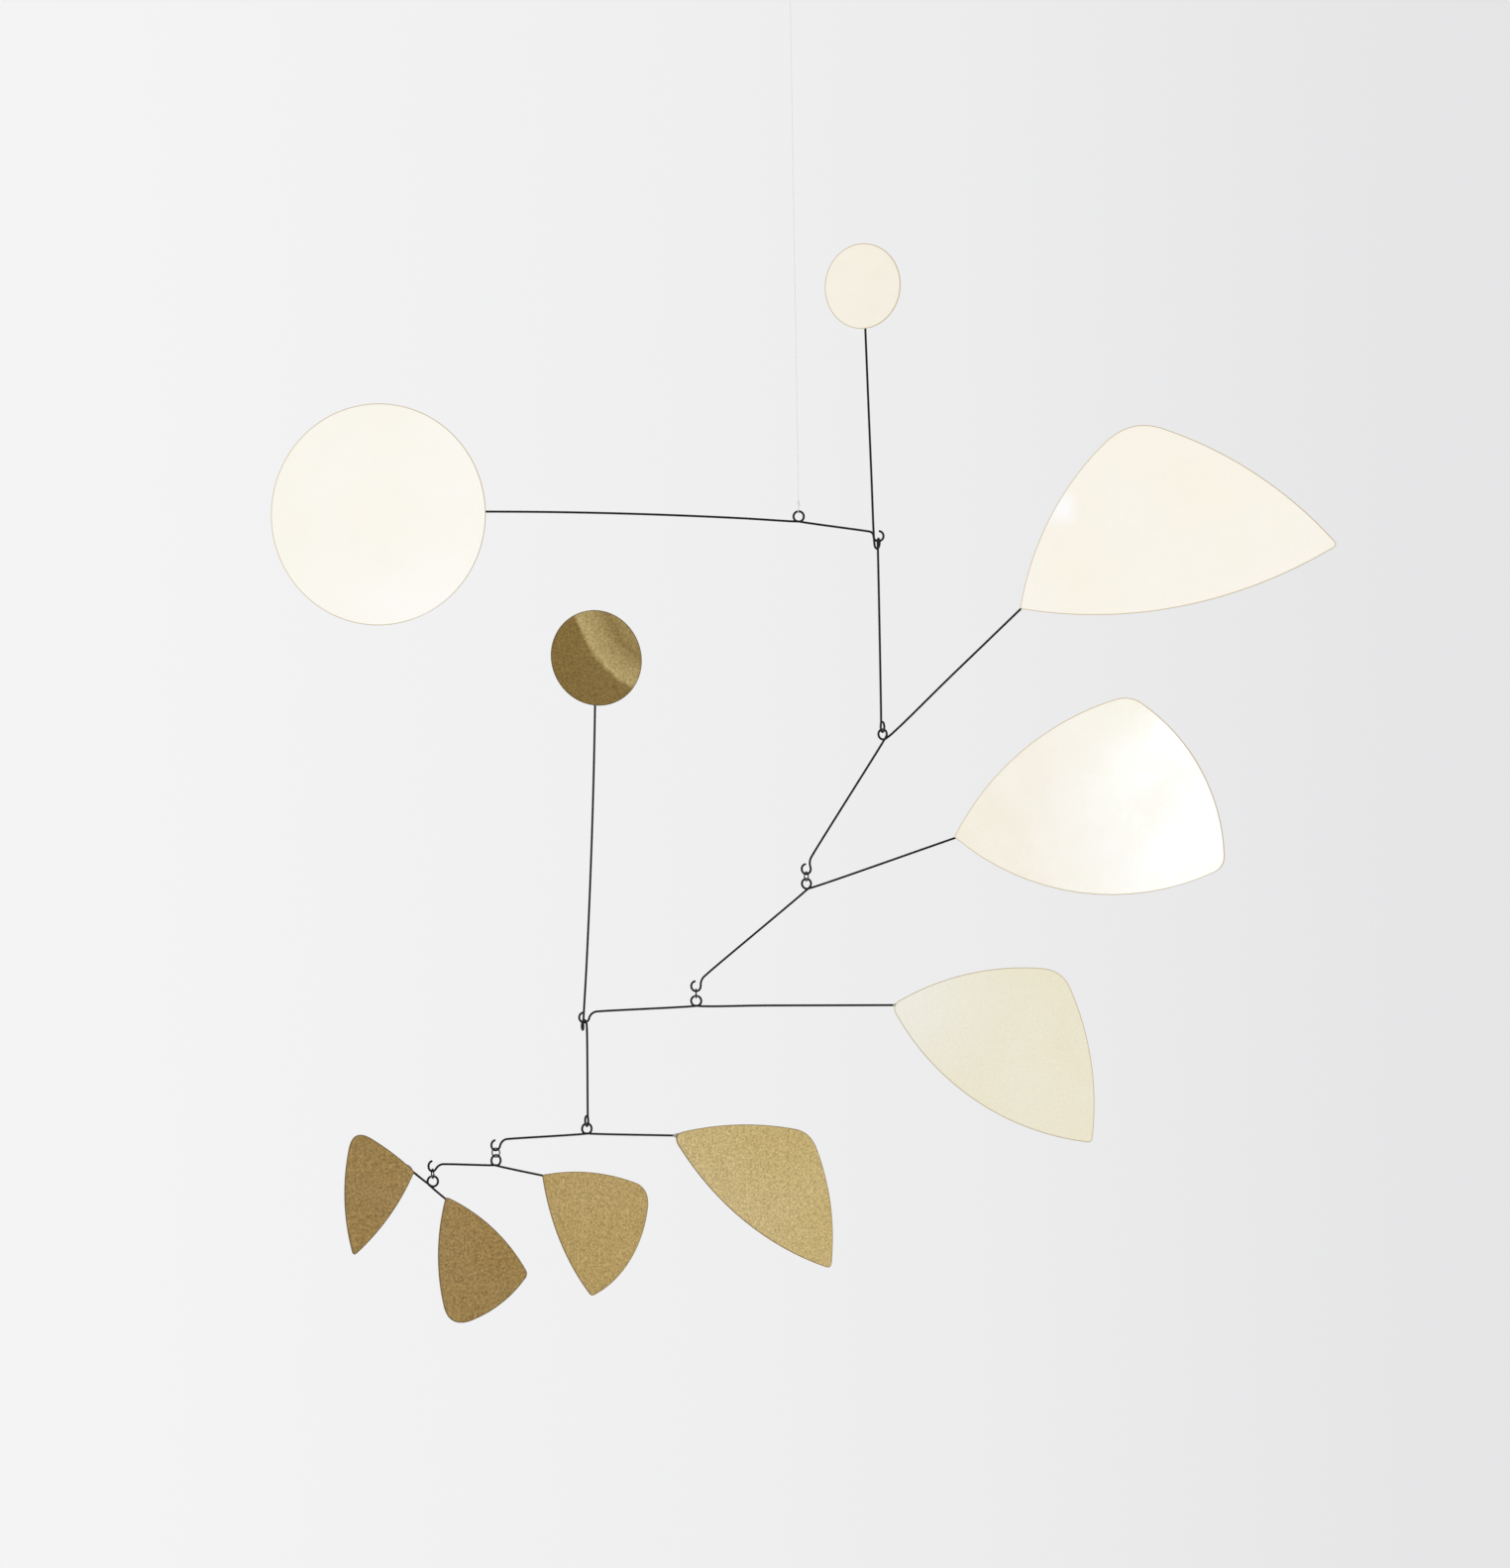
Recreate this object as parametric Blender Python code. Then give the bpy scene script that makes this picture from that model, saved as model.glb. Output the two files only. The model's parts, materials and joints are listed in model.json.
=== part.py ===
"""A hanging mobile: nine arms of bent steel wire and ten plates of sheet brass, on one nylon line.

Every arm hangs by an eye, which is one full turn of its wire. All but the lowest end in an open hook
that carries the next arm, straight through its eye or with a small link ring between.
Metres and degrees, +Z up, seen from -Y. The origin is where the top loop bears on its ceiling hook.
"""

import math
from dataclasses import dataclass

import bmesh
import bpy
from mathutils import Matrix, Vector

# Stock, and the gap between pieces that bear on each other
WIRE_DIAMETER = 0.0015
LINK_WIRE_DIAMETER = 0.0009
LINE_DIAMETER = 0.0005
CLEARANCE = 0.0003

# Bends that the arms share, measured to the middle of the wire
EYE_RADIUS = 0.0034
EYE_PITCH = 0.0025
HOOK_RADIUS = 0.0034
HOOK_TIP_HEADING = 175
LINK_RADIUS = 0.0031

# How far each wire runs on behind its plate, where it is soldered
DISC_LAP = 0.016
LEAF_LAP = 0.014
SMALL_LEAF_LAP = 0.008

# The line, its loop over the ceiling hook and its noose through the main arm's eye
THREAD_LENGTH = 0.345
TOP_LOOP_OPENING = 0.010
TOP_LOOP_LENGTH = 0.019
NOOSE_LENGTH = 0.0060
KNOT_DIAMETER = 0.0018
KNOT_LENGTH = 0.0026

# Each arm's turn about its own upright axis, anticlockwise from above
MAIN_ARM_YAW = -11
TOP_UPRIGHT_YAW = 68
FIRST_LEAF_YAW = -27
SECOND_LEAF_YAW = -18
THIRD_LEAF_YAW = 6
LONG_UPRIGHT_YAW = 110
FOURTH_LEAF_YAW = 34
FIFTH_LEAF_YAW = 42
LOWEST_ARM_YAW = 18
FIRST_LINK_YAW = 64
SECOND_LINK_YAW = 92
THIRD_LINK_YAW = -32
FOURTH_LINK_YAW = 108

# Main arm
MAIN_DISC_REACH = 0.2166
MAIN_DISC_RISE = 5.0
MAIN_DISC_BEND = -3.5
MAIN_HOOK_REACH = 0.0494
MAIN_HOOK_RISE = -9.4
MAIN_SHOULDER_RADIUS = 0.0034
MAIN_SHOULDER_TURN = 80
LARGE_DISC_TILT = -1

# Top upright
TOP_DISC_REACH = 0.1441
TOP_DISC_BEND = 0.0
TOP_DISC_SWAY = -1.54
TOP_UPRIGHT_HOOK_REACH = 0.1182
TOP_UPRIGHT_HOOK_RISE = -89.5
TOP_DISC_YAW = -29

# Long upright
DARK_DISC_REACH = 0.2172
DARK_DISC_BEND = 8.0
DARK_DISC_SWAY = 4.5
LONG_UPRIGHT_HOOK_REACH = 0.0605
LONG_UPRIGHT_HOOK_RISE = -89.0
DARK_DISC_YAW = 22
UPRIGHT_SHOULDER_RADIUS = 0.008
UPRIGHT_SHOULDER_TURN = 25

# Leaf arms: each wire's stretch to its leaf's tip, and its stretch to its hook. The wire turns down to
# its hook by a wide shoulder where the arm is steep or short, and by a tighter one where it is level.
WIDE_SHOULDER_RADIUS = 0.008
WIDE_SHOULDER_TURN = 55
LEVEL_SHOULDER_RADIUS = 0.006
LEVEL_SHOULDER_TURN = 75
FIRST_LEAF_REACH = 0.1305
FIRST_LEAF_RISE = 40.0
FIRST_HOOK_REACH = 0.0977
FIRST_HOOK_RISE = -54.4
SECOND_LEAF_REACH = 0.1084
SECOND_LEAF_RISE = 17.7
SECOND_HOOK_REACH = 0.0958
SECOND_HOOK_RISE = -38.2
THIRD_LEAF_REACH = 0.1336
THIRD_LEAF_RISE = -1.0
THIRD_HOOK_REACH = 0.0678
THIRD_HOOK_RISE = -2.0
FOURTH_LEAF_REACH = 0.0688
FOURTH_LEAF_RISE = -4.1
FOURTH_HOOK_REACH = 0.0640
FOURTH_HOOK_RISE = -0.4
FIFTH_LEAF_REACH = 0.0416
FIFTH_LEAF_RISE = -13.0
FIFTH_HOOK_REACH = 0.0457
FIFTH_HOOK_RISE = 4.4
LOWEST_RIGHT_REACH = 0.0134
LOWEST_RIGHT_RISE = -41.2
LOWEST_LEFT_REACH = 0.0148
LOWEST_LEFT_RISE = 39.1


@dataclass
class Disc:
    """A round plate, with its middle above the wire's line by its set."""

    diameter: float
    sheet: float
    set: float = 0.0


@dataclass
class Leaf:
    """A curved triangle cut from sheet. Its tip is on the wire, its edges bow outwards.

    The two edges from the tip are given by length and by angle from the wire's own line, upwards
    positive. Bows and roundings follow the outline from the tip: upper edge, far edge, lower edge,
    and tip, upper corner, lower corner. The tip's corner stands above the wire's line by its set.
    """

    upper_edge: float
    lower_edge: float
    upper_angle: float
    lower_angle: float
    bows: tuple
    roundings: tuple
    set: float
    sheet: float


# Each sheet is as thick as balances its arm level on its eye, worked up from the lowest arm
LARGE_DISC = Disc(diameter=0.1516, sheet=0.00047, set=-0.0020)
TOP_DISC = Disc(diameter=0.0572, sheet=0.00060)
DARK_DISC = Disc(diameter=0.0659, sheet=0.00060)
FIRST_LEAF = Leaf(
    upper_edge=0.1467,
    lower_edge=0.2267,
    upper_angle=16.0,
    lower_angle=-31.3,
    bows=(0.0150, 0.0120, 0.0193),
    roundings=(0.0014, 0.0207, 0.0040),
    set=-0.0001,
    sheet=0.00055)
SECOND_LEAF = Leaf(
    upper_edge=0.1529,
    lower_edge=0.1854,
    upper_angle=19.5,
    lower_angle=-24.6,
    bows=(0.0165, 0.0179, 0.0277),
    roundings=(0.0010, 0.0094, 0.0075),
    set=0.0007,
    sheet=0.00058)
THIRD_LEAF = Leaf(
    upper_edge=0.1202,
    lower_edge=0.1678,
    upper_angle=11.3,
    lower_angle=-34.3,
    bows=(0.0108, 0.0094, 0.0212),
    roundings=(0.0069, 0.0125, 0.0035),
    set=-0.0001,
    sheet=0.00056)
FOURTH_LEAF = Leaf(
    upper_edge=0.1140,
    lower_edge=0.1644,
    upper_angle=2.1,
    lower_angle=-33.6,
    bows=(0.0060, 0.0082, 0.0140),
    roundings=(0.0100, 0.0116, 0.0044),
    set=0.0007,
    sheet=0.00062)
FIFTH_LEAF = Leaf(
    upper_edge=0.0949,
    lower_edge=0.0947,
    upper_angle=3.9,
    lower_angle=-51.1,
    bows=(0.0060, 0.0149, 0.0068),
    roundings=(0.0010, 0.0118, 0.0024),
    set=0.0002,
    sheet=0.00071)
LOWEST_RIGHT_LEAF = Leaf(
    upper_edge=0.0772,
    lower_edge=0.0864,
    upper_angle=-3.0,
    lower_angle=-48.2,
    bows=(0.0063, 0.0067, 0.0065),
    roundings=(0.0026, 0.0032, 0.0130),
    set=0.0012,
    sheet=0.00108)
LOWEST_LEFT_LEAF = Leaf(
    upper_edge=0.0506,
    lower_edge=0.0689,
    upper_angle=-3.1,
    lower_angle=-91.2,
    bows=(0.0019, 0.0061, 0.0040),
    roundings=(0.0012, 0.0123, 0.0032),
    set=0.0006,
    sheet=0.00100)

# Smoothness of the solids
WIRE_SIDES_RESOLUTION = 2
EYE_STEP = 22.5
HOOK_STEP = 24
SHOULDER_STEP = 14
BEND_STEPS = 6
EDGE_STEPS = 16
ROUNDING_STEPS = 7
DISC_SEGMENTS = 64
THREAD_POINTS = 24


@dataclass
class Stretch:
    """One side of an arm's wire, from its eye outwards: reach, rise above level, bend and sway."""

    reach: float
    rise: float
    bend: float = 0.0
    sway: float = 0.0


class Bender:
    """A point that moves along a wire in its arm's plane, x towards the hook and y up, z to the viewer."""

    def __init__(self, place, heading, depth, sway=0.0):
        self.place = Vector(place)
        self.heading = heading
        self.depth = depth
        self.sway = math.tan(math.radians(sway))
        self.points = [self.here()]

    def here(self):
        return Vector((self.place.x, self.place.y, self.depth))

    def direction(self):
        angle = math.radians(self.heading)
        return Vector((math.cos(angle), math.sin(angle), self.sway)).normalized()

    def step(self, length, turn):
        """Moves along a short chord that leaves and meets the arc at half the turn."""
        angle = math.radians(self.heading + turn / 2)
        self.place += length * Vector((math.cos(angle), math.sin(angle)))
        self.depth += length * self.sway
        self.heading += turn
        self.points.append(self.here())

    def run(self, length, bend=0.0):
        """A stretch that is straight, or that turns evenly by bend."""
        steps = BEND_STEPS if bend else 1
        for _ in range(steps):
            self.step(length / steps, bend / steps)

    def arc(self, radius, turn, step):
        """A bend round a peg, anticlockwise where turn is positive."""
        steps = max(2, math.ceil(abs(turn) / step))
        chord = 2 * radius * math.sin(math.radians(abs(turn) / steps / 2))
        for _ in range(steps):
            self.step(chord, turn / steps)


class ArmWire:
    """The middle line of an arm's wire, from its plate through its eye to its hook or second plate.

    side is 1 where the hook is to the right and -1 where it is to the left. shoulder is the radius and
    turn of the bend before the hook. The origin is the middle of the wire at the top of the eye.
    """

    def __init__(self, plate_side, far_side, side, shoulder, plate_lap, far_lap=0.0):
        self.side = side
        start = -plate_side.rise - 90
        sweep = 360 + plate_side.rise + far_side.rise
        eye = self.eye_points(start, sweep)
        self.crown = EYE_PITCH * ((90 - start) / sweep - 0.5)

        inner = Bender(eye[0].xy, start - 90, eye[0].z, plate_side.sway)
        inner.run(plate_side.reach, -plate_side.bend)
        self.plate_end = self.in_arm(inner.here())
        self.plate_heading = self.turned(inner.direction())
        inner.run(plate_lap)

        outer = Bender(eye[-1].xy, far_side.rise, eye[-1].z)
        outer.run(far_side.reach, far_side.bend)
        self.far_end = self.in_arm(outer.here())
        self.far_heading = self.turned(outer.direction())
        if shoulder is None:
            outer.run(far_lap)
        else:
            radius, turn = shoulder
            outer.arc(radius, -turn, SHOULDER_STEP)
            self.hook_bottom = self.in_arm(self.seat_of_hook(outer))
            outer.arc(HOOK_RADIUS, HOOK_TIP_HEADING - outer.heading, HOOK_STEP)

        middle = inner.points[:0:-1] + eye + outer.points[1:]
        self.points = [self.in_arm(point) for point in middle]

    def eye_points(self, start, sweep):
        """One turn round the eye, which also climbs along the eye's axis so that its ends can cross."""
        steps = math.ceil(sweep / EYE_STEP)
        turn = []
        for n in range(steps + 1):
            angle = math.radians(start + sweep * n / steps)
            climb = EYE_PITCH * (n / steps - 0.5)
            turn.append(Vector((EYE_RADIUS * math.cos(angle), EYE_RADIUS * math.sin(angle), climb)))
        return turn

    def seat_of_hook(self, pen):
        """The lowest point of the hook that starts where the pen is."""
        inward = math.radians(pen.heading + 90)
        centre = pen.place + HOOK_RADIUS * Vector((math.cos(inward), math.sin(inward)))
        return Vector((centre.x, centre.y - HOOK_RADIUS, pen.depth))

    def turned(self, direction):
        return Vector((self.side * direction.x, direction.y, direction.z))

    def in_arm(self, point):
        """From the eye's centre to the arm's own origin, mirrored for a hook to the left."""
        return Vector((self.side * point.x, point.y - EYE_RADIUS, point.z - self.crown))


def metal(name, colour, roughness, metallic=1.0):
    material = bpy.data.materials.new(name)
    material.use_nodes = True
    shader = material.node_tree.nodes["Principled BSDF"]
    shader.inputs["Base Color"].default_value = (*colour, 1.0)
    shader.inputs["Roughness"].default_value = roughness
    shader.inputs["Metallic"].default_value = metallic
    return material


def link_object(name, data, material, parent):
    thing = bpy.data.objects.new(name, data)
    bpy.context.scene.collection.objects.link(thing)
    thing.data.materials.append(material)
    thing.parent = parent
    return thing


def axis_at(name, parent, place, turn):
    """An empty on an upright axis: x along the arm, y up, z to the viewer."""
    empty = bpy.data.objects.new(name, None)
    empty.empty_display_size = EYE_RADIUS
    bpy.context.scene.collection.objects.link(empty)
    empty.parent = parent
    empty.location = place
    empty.rotation_euler = (0, math.radians(turn), 0)
    return empty


def wire_curve(name, points, diameter):
    """A round wire along points, with flat cut ends."""
    curve = bpy.data.curves.new(name, "CURVE")
    curve.dimensions = "3D"
    curve.bevel_depth = diameter / 2
    curve.bevel_resolution = WIRE_SIDES_RESOLUTION
    curve.use_fill_caps = True
    spline = curve.splines.new("POLY")
    spline.points.add(len(points) - 1)
    for target, point in zip(spline.points, points):
        target.co = (*point, 1.0)
    spline.use_smooth = True
    return curve


def bowed_edge(start, end, bow):
    """Points along an arc from start to end that stands out to the left by bow at its middle."""
    half = (end - start).length / 2
    along = (end - start).normalized()
    out = Vector((-along.y, along.x))
    radius = (half * half + bow * bow) / (2 * bow)
    spread = math.asin(half / radius)
    centre = (start + end) / 2 + out * (bow - radius)
    steps = 3 * EDGE_STEPS
    angles = [spread * (2 * n / steps - 1) for n in range(steps + 1)]
    return [centre + radius * (out * math.cos(a) + along * math.sin(a)) for a in angles]


def trimmed(line, first, last):
    """The stretch of a line that starts first along it and ends last before its end, evenly divided."""
    lengths = [0.0]
    for before, after in zip(line, line[1:]):
        lengths.append(lengths[-1] + (after - before).length)
    wanted = [first + (lengths[-1] - last - first) * n / EDGE_STEPS for n in range(EDGE_STEPS + 1)]
    found = []
    for at in wanted:
        n = max(k for k in range(len(line) - 1) if lengths[k] <= at)
        share = (at - lengths[n]) / (lengths[n + 1] - lengths[n])
        found.append(line[n].lerp(line[n + 1], share))
    return found


def leaf_outline(leaf):
    """The leaf's edge, clockwise from its tip, with x along the wire and y up."""

    def from_tip(length, angle):
        turn = math.radians(angle)
        return Vector((length * math.cos(turn), length * math.sin(turn) + leaf.set))

    corners = [
        from_tip(0.0, 0.0),
        from_tip(leaf.upper_edge, leaf.upper_angle),
        from_tip(leaf.lower_edge, leaf.lower_angle),
    ]
    edges = []
    for n in range(3):
        edge = bowed_edge(corners[n], corners[(n + 1) % 3], leaf.bows[n])
        edges.append(trimmed(edge, leaf.roundings[n], leaf.roundings[(n + 1) % 3]))
    outline = []
    for n in range(3):
        following = (n + 1) % 3
        outline += edges[n]
        for step in range(1, ROUNDING_STEPS):
            t = step / ROUNDING_STEPS
            ends = edges[n][-1] * (1 - t) ** 2 + edges[following][0] * t**2
            outline.append(ends + corners[following] * (2 * t * (1 - t)))
    return outline


def disc_outline(disc):
    """The disc's edge, clockwise from where the wire meets it, with x along the wire and y up."""
    radius = disc.diameter / 2
    outline = []
    for n in range(DISC_SEGMENTS):
        angle = math.pi * (1 - 2 * n / DISC_SEGMENTS)
        outline.append(Vector((radius + radius * math.cos(angle), radius * math.sin(angle) + disc.set)))
    return outline


def sheet_mesh(name, outline, upside, thickness):
    """A plate of sheet with this outline. upside is -1 where the wire runs to the left."""
    mesh = bpy.data.meshes.new(name)
    plate = bmesh.new()
    lowest = -thickness / 2
    rim = [plate.verts.new((point.x, upside * point.y, lowest)) for point in outline]
    face = plate.faces.new(rim)
    raised = bmesh.ops.extrude_face_region(plate, geom=[face])
    moved = [item for item in raised["geom"] if isinstance(item, bmesh.types.BMVert)]
    bmesh.ops.translate(plate, verts=moved, vec=(0, 0, thickness))
    bmesh.ops.recalc_face_normals(plate, faces=plate.faces)
    plate.to_mesh(mesh)
    plate.free()
    return mesh


def hang_plate(name, plate, end, heading, side, arm, material, face_turn=0.0):
    """A plate soldered on the viewer's side of a wire's end."""
    normal = Vector((0, 0, 1))
    normal = (normal - heading * normal.dot(heading)).normalized()
    normal.rotate(Matrix.Rotation(math.radians(face_turn), 3, heading))
    upright = normal.cross(heading)
    turn = Matrix((heading, upright, normal)).transposed()
    outline = disc_outline(plate) if isinstance(plate, Disc) else leaf_outline(plate)
    hung = link_object(name, sheet_mesh(name, outline, side, plate.sheet), material, arm)
    hung.location = end + normal * (WIRE_DIAMETER / 2 + CLEARANCE + plate.sheet / 2)
    hung.rotation_euler = turn.to_euler()
    return hung


def loop_points(radius, length):
    """A line's loop round a peg at the origin, with both its ends in a knot at length above it."""
    half_gap = LINE_DIAMETER / 2 + CLEARANCE / 2
    far = math.hypot(half_gap, length)
    leave = math.atan2(length, half_gap) - math.acos(radius / far)
    sweep = math.pi + 2 * leave
    steps = math.ceil(math.degrees(sweep) / EYE_STEP)
    turn = [leave - sweep * n / steps for n in range(steps + 1)]
    bend = [Vector((0, radius * math.sin(a), radius * math.cos(a))) for a in turn]
    return [Vector((0, length, half_gap)), *bend, Vector((0, length, -half_gap))]


def knotted_loop(name, radius, length, material, parent):
    """A loop of line and the knot that closes it, as one solid."""
    loop_curve = wire_curve(name + "_line", loop_points(radius, length), LINE_DIAMETER)
    drawn = bpy.data.objects.new(name + "_line", loop_curve)
    line_mesh = bpy.data.meshes.new_from_object(drawn)
    bpy.data.objects.remove(drawn)
    line = link_object(name + "_line", line_mesh, material, parent)
    line.hide_render = True
    line.display_type = "WIRE"

    mesh = bpy.data.meshes.new(name)
    knot = bmesh.new()
    bmesh.ops.create_uvsphere(knot, u_segments=12, v_segments=8, radius=0.5)
    bmesh.ops.scale(knot, verts=knot.verts, vec=(KNOT_DIAMETER, KNOT_DIAMETER, KNOT_LENGTH))
    bmesh.ops.rotate(knot, verts=knot.verts, matrix=Matrix.Rotation(math.pi / 2, 3, "X"))
    bmesh.ops.translate(knot, verts=knot.verts, vec=(0, length, 0))
    knot.to_mesh(mesh)
    knot.free()
    loop = link_object(name, mesh, material, parent)
    union = loop.modifiers.new("knot on its loop", "BOOLEAN")
    union.operation = "UNION"
    union.solver = "EXACT"
    union.object = line
    return loop, line


def link_ring(name, place, turn, material, parent):
    """A small closed ring that hangs in a hook, on its own upright axis."""
    bpy.ops.mesh.primitive_torus_add(
        major_segments=20,
        minor_segments=6,
        major_radius=LINK_RADIUS,
        minor_radius=LINK_WIRE_DIAMETER / 2,
    )
    ring = bpy.context.object
    ring.name = name
    ring.data.name = name
    ring.data.materials.append(material)
    ring.data.shade_smooth()
    ring.parent = parent
    ring.location = place
    ring.rotation_euler = (0, math.radians(turn), 0)
    return ring


class Mobile:
    """Hangs the arms one below the other, each from the seat that the last one left."""

    def __init__(self, wire_material):
        self.wire_material = wire_material
        self.frame = bpy.data.objects.new("hanging_point", None)
        bpy.context.scene.collection.objects.link(self.frame)
        self.frame.rotation_euler = (math.pi / 2, 0, 0)
        self.axis = self.frame
        self.yaw = 0
        self.seat = Vector((0, 0, 0))

    def hang_arm(self, name, wire, yaw):
        """Adds an arm whose eye's top is on the seat, and moves the seat to the arm's own hook."""
        self.axis = axis_at(name + "_axis", self.axis, self.seat, yaw - self.yaw)
        self.yaw = yaw
        curve = wire_curve(name + "_wire", wire.points, WIRE_DIAMETER)
        link_object(name + "_wire", curve, self.wire_material, self.axis)
        if hasattr(wire, "hook_bottom"):
            self.seat = wire.hook_bottom + Vector((0, WIRE_DIAMETER + CLEARANCE, 0))
        return self.axis

    def hang_link(self, name, yaw):
        """Adds a link ring in the last hook, and lowers the seat to the top of the next eye."""
        bearing = (WIRE_DIAMETER + LINK_WIRE_DIAMETER) / 2 + CLEARANCE
        top = self.seat - Vector((0, WIRE_DIAMETER + CLEARANCE - bearing, 0))
        centre = top - Vector((0, LINK_RADIUS, 0))
        ring = link_ring(name, centre, yaw - self.yaw, self.wire_material, self.axis)
        self.seat = centre - Vector((0, LINK_RADIUS - bearing, 0))
        return ring


def hang_line(mobile, material):
    """The top loop, the line and its noose, down to where the main arm's eye hangs."""
    peg = TOP_LOOP_OPENING / 2 + LINE_DIAMETER / 2
    loop, line = knotted_loop("thread_top_loop", peg, TOP_LOOP_LENGTH, material, mobile.frame)
    for thing in (loop, line):
        thing.rotation_euler = (0, 0, math.pi)
        thing.location = (0, -TOP_LOOP_OPENING / 2, 0)
    top = -TOP_LOOP_OPENING / 2 - TOP_LOOP_LENGTH - KNOT_LENGTH / 2 - CLEARANCE
    heights = [top - THREAD_LENGTH * n / (THREAD_POINTS - 1) for n in range(THREAD_POINTS)]
    points = [Vector((0, height, 0)) for height in heights]
    link_object("hanging_thread", wire_curve("hanging_thread", points, LINE_DIAMETER), material, mobile.frame)

    knot_middle = heights[-1] - CLEARANCE - KNOT_LENGTH / 2
    mobile.seat = Vector((0, knot_middle - NOOSE_LENGTH, 0))
    noose_radius = (WIRE_DIAMETER + LINE_DIAMETER) / 2 + CLEARANCE
    noose = knotted_loop("thread_noose", noose_radius, NOOSE_LENGTH, material, mobile.frame)
    for thing in noose:
        thing.location = mobile.seat
        thing.rotation_euler = (0, math.radians(MAIN_ARM_YAW), 0)


def hang_disc_arm(mobile, brass):
    """The main arm: the large disc to the left, the hook to the right."""
    wire = ArmWire(
        Stretch(MAIN_DISC_REACH, MAIN_DISC_RISE, MAIN_DISC_BEND),
        Stretch(MAIN_HOOK_REACH, MAIN_HOOK_RISE),
        side=1,
        shoulder=(MAIN_SHOULDER_RADIUS, MAIN_SHOULDER_TURN),
        plate_lap=DISC_LAP,
    )
    arm = mobile.hang_arm("main_arm", wire, MAIN_ARM_YAW)
    hang_plate("large_disc", LARGE_DISC, wire.plate_end, wire.plate_heading, -1, arm, brass, LARGE_DISC_TILT)


def hang_upright(mobile, names, stretches, yaw, disc, disc_yaw, brass):
    """An upright wire with a disc at its top and its hook at its foot."""
    shoulder = (UPRIGHT_SHOULDER_RADIUS, UPRIGHT_SHOULDER_TURN)
    wire = ArmWire(*stretches, side=1, shoulder=shoulder, plate_lap=DISC_LAP)
    arm = mobile.hang_arm(names[0], wire, yaw)
    hang_plate(names[1], disc, wire.plate_end, wire.plate_heading, 1, arm, brass, disc_yaw - yaw)


def hang_leaf_arm(mobile, ordinal, stretches, shoulder, leaf, yaw, brass):
    """A leaf to the right and the hook to the left."""
    wire = ArmWire(*stretches, side=-1, shoulder=shoulder, plate_lap=LEAF_LAP)
    arm = mobile.hang_arm(ordinal + "_leaf", wire, yaw)
    hang_plate(ordinal + "_leaf", leaf, wire.plate_end, wire.plate_heading, 1, arm, brass)


def hang_lowest_arm(mobile, brass):
    """A leaf at each end and no hook."""
    wire = ArmWire(
        Stretch(LOWEST_RIGHT_REACH, LOWEST_RIGHT_RISE),
        Stretch(LOWEST_LEFT_REACH, LOWEST_LEFT_RISE),
        side=-1,
        shoulder=None,
        plate_lap=SMALL_LEAF_LAP,
        far_lap=SMALL_LEAF_LAP,
    )
    arm = mobile.hang_arm("lowest_arm", wire, LOWEST_ARM_YAW)
    hang_plate("lowest_right_leaf", LOWEST_RIGHT_LEAF, wire.plate_end, wire.plate_heading, 1, arm, brass)
    hang_plate("lowest_left_leaf", LOWEST_LEFT_LEAF, wire.far_end, wire.far_heading, -1, arm, brass)


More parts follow.
